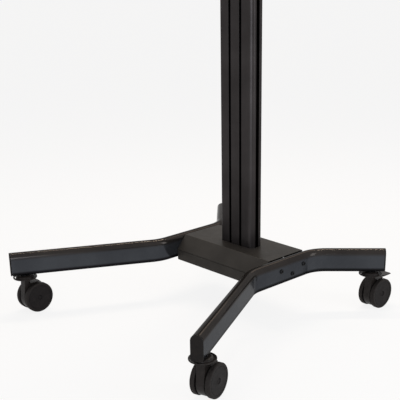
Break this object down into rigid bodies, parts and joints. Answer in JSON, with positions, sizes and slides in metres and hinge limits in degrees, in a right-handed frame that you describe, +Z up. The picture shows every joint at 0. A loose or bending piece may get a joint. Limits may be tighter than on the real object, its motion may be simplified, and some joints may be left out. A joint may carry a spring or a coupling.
{
  "type": "tv cart",
  "caption": "Mobile stand for a flat screen: bent tube legs on locking swivel casters, a low base, a slotted aluminium column and a tilting screen mount that slides on it.",
  "frame": {"origin": "on the floor, in the middle of the footprint", "axes": "+Z up, the screen faces -Y, +X to the right as seen from the front"},
  "size_m": [0.9356, 0.955, 1.6553],
  "materials": {
    "leg_finish": "satin, dark bronze-black powder coat",
    "cap_plastic": "matte",
    "base_finish": "satin",
    "column_finish": "dark anodised, satin",
    "fastener": "black oxide",
    "caster_plastic": "satin",
    "wheel_tread": "matte",
    "bare_steel": "bright",
    "mount_finish": "fine-texture powder coat"
  },
  "bodies": {
    "stand": {"base_chassis": "base_finish", "base_cover": "base_finish", "caster_stem_front_left": "fastener", "caster_stem_front_right": "fastener", "caster_stem_rear_left": "fastener", "caster_stem_rear_right": "fastener", "column": "column_finish", "column_cap": "cap_plastic", "column_foot": "fastener", "leg_bolt_left_front": "fastener", "leg_bolt_left_middle": "fastener", "leg_bolt_left_rear": "fastener", "leg_bolt_right_front": "fastener", "leg_bolt_right_middle": "fastener", "leg_bolt_right_rear": "fastener", "leg_cap_front_left": "cap_plastic", "leg_cap_front_right": "cap_plastic", "leg_cap_rear_left": "cap_plastic", "leg_cap_rear_right": "cap_plastic", "leg_left": "leg_finish", "leg_right": "leg_finish"},
    "caster_front_right": {"caster_hood_front_right": "caster_plastic", "caster_axle_front_right": "bare_steel"},
    "wheel_front_right_right": {"wheel_front_right_right": "wheel_tread"},
    "wheel_front_right_left": {"wheel_front_right_left": "wheel_tread"},
    "caster_front_left": {"caster_hood_front_left": "caster_plastic", "caster_axle_front_left": "bare_steel"},
    "wheel_front_left_right": {"wheel_front_left_right": "wheel_tread"},
    "wheel_front_left_left": {"wheel_front_left_left": "wheel_tread"},
    "caster_rear_right": {"caster_hood_rear_right": "caster_plastic", "caster_axle_rear_right": "bare_steel"},
    "wheel_rear_right_right": {"wheel_rear_right_right": "wheel_tread"},
    "wheel_rear_right_left": {"wheel_rear_right_left": "wheel_tread"},
    "pedal_rear_right": {"brake_pedal_rear_right": "caster_plastic"},
    "caster_rear_left": {"caster_hood_rear_left": "caster_plastic", "caster_axle_rear_left": "bare_steel"},
    "wheel_rear_left_right": {"wheel_rear_left_right": "wheel_tread"},
    "wheel_rear_left_left": {"wheel_rear_left_left": "wheel_tread"},
    "pedal_rear_left": {"brake_pedal_rear_left": "caster_plastic"},
    "mount_carriage": {"carriage_bolt_lower_left": "fastener", "carriage_bolt_lower_right": "fastener", "carriage_bolt_upper_left": "fastener", "carriage_bolt_upper_right": "fastener", "mount_carriage": "mount_finish", "slot_bar_left": "fastener", "slot_bar_right": "fastener", "tilt_pin": "bare_steel"},
    "tilt_head": {"cross_rail": "mount_finish", "rail_bolt_left": "fastener", "rail_bolt_right": "fastener", "tilt_head": "mount_finish"},
    "tilt_knob_right": {"tilt_knob_right": "cap_plastic"},
    "tv_arm_right": {"tv_arm_right": "mount_finish"},
    "arm_lock_right": {"arm_lock_right": "cap_plastic"},
    "tilt_knob_left": {"tilt_knob_left": "cap_plastic"},
    "tv_arm_left": {"tv_arm_left": "mount_finish"},
    "arm_lock_left": {"arm_lock_left": "cap_plastic"}
  },
  "joints": [
    {"name": "swivel_front_right", "type": "hinge", "parent": "stand", "child": "caster_front_right", "pos_m": [0.42906, -0.42956, 0.1], "axis": [0, 0, 1], "continuous": true},
    {"name": "roll_front_right_right", "type": "hinge", "parent": "caster_front_right", "child": "wheel_front_right_right", "pos_m": [0.42088, -0.40028, 0.05037], "axis": [0.9632, 0.2689, 0], "continuous": true},
    {"name": "roll_front_right_left", "type": "hinge", "parent": "caster_front_right", "child": "wheel_front_right_left", "pos_m": [0.42088, -0.40028, 0.05037], "axis": [0.9632, 0.2689, 0], "continuous": true},
    {"name": "swivel_front_left", "type": "hinge", "parent": "stand", "child": "caster_front_left", "pos_m": [-0.42906, -0.42956, 0.1], "axis": [0, 0, 1], "continuous": true},
    {"name": "roll_front_left_right", "type": "hinge", "parent": "caster_front_left", "child": "wheel_front_left_right", "pos_m": [-0.42868, -0.39916, 0.05037], "axis": [0.9999, -0.0122, 0], "continuous": true},
    {"name": "roll_front_left_left", "type": "hinge", "parent": "caster_front_left", "child": "wheel_front_left_left", "pos_m": [-0.42868, -0.39916, 0.05037], "axis": [0.9999, -0.0122, 0], "continuous": true},
    {"name": "swivel_rear_right", "type": "hinge", "parent": "stand", "child": "caster_rear_right", "pos_m": [0.35312, 0.39576, 0.1], "axis": [0, 0, 1], "continuous": true},
    {"name": "roll_rear_right_right", "type": "hinge", "parent": "caster_rear_right", "child": "wheel_rear_right_right", "pos_m": [0.35344, 0.42616, 0.05037], "axis": [0.9999, -0.0105, 0], "continuous": true},
    {"name": "roll_rear_right_left", "type": "hinge", "parent": "caster_rear_right", "child": "wheel_rear_right_left", "pos_m": [0.35344, 0.42616, 0.05037], "axis": [0.9999, -0.0105, 0], "continuous": true},
    {"name": "brake_rear_right", "type": "hinge", "parent": "caster_rear_right", "child": "pedal_rear_right", "pos_m": [0.35359, 0.44025, 0.1015], "axis": [0.9999, -0.0105, 0], "range_deg": [-41, 0]},
    {"name": "swivel_rear_left", "type": "hinge", "parent": "stand", "child": "caster_rear_left", "pos_m": [-0.35312, 0.39576, 0.1], "axis": [0, 0, 1], "continuous": true},
    {"name": "roll_rear_left_right", "type": "hinge", "parent": "caster_rear_left", "child": "wheel_rear_left_right", "pos_m": [-0.35418, 0.42614, 0.05037], "axis": [0.9994, 0.0349, 0], "continuous": true},
    {"name": "roll_rear_left_left", "type": "hinge", "parent": "caster_rear_left", "child": "wheel_rear_left_left", "pos_m": [-0.35418, 0.42614, 0.05037], "axis": [0.9994, 0.0349, 0], "continuous": true},
    {"name": "brake_rear_left", "type": "hinge", "parent": "caster_rear_left", "child": "pedal_rear_left", "pos_m": [-0.35468, 0.44023, 0.1015], "axis": [0.9994, 0.0349, 0], "range_deg": [-41, 0]},
    {"name": "mount_height", "type": "slide", "parent": "stand", "child": "mount_carriage", "axis": [0, 0, 1], "range_m": [-0.35, 0.14]},
    {"name": "mount_tilt", "type": "hinge", "parent": "mount_carriage", "child": "tilt_head", "pos_m": [0, 0.073, 1.4], "axis": [1, 0, 0], "range_deg": [-5, 12]},
    {"name": "tilt_knob_right_turn", "type": "hinge", "parent": "mount_carriage", "child": "tilt_knob_right", "pos_m": [0.065, 0.073, 1.4], "axis": [1, 0, 0], "range_deg": [0, 270]},
    {"name": "arm_slide_right", "type": "slide", "parent": "tilt_head", "child": "tv_arm_right", "axis": [1, 0, 0], "range_m": [-0.05, 0.13]},
    {"name": "arm_lock_right_turn", "type": "hinge", "parent": "tv_arm_right", "child": "arm_lock_right", "pos_m": [0.15, 0.0255, 1.3], "axis": [0, 0, 1], "range_deg": [0, 270]},
    {"name": "tilt_knob_left_turn", "type": "hinge", "parent": "mount_carriage", "child": "tilt_knob_left", "pos_m": [-0.065, 0.073, 1.4], "axis": [-1, 0, 0], "range_deg": [0, 270]},
    {"name": "arm_slide_left", "type": "slide", "parent": "tilt_head", "child": "tv_arm_left", "axis": [1, 0, 0], "range_m": [-0.13, 0.05]},
    {"name": "arm_lock_left_turn", "type": "hinge", "parent": "tv_arm_left", "child": "arm_lock_left", "pos_m": [-0.15, 0.0255, 1.3], "axis": [0, 0, 1], "range_deg": [0, 270]}
  ]
}
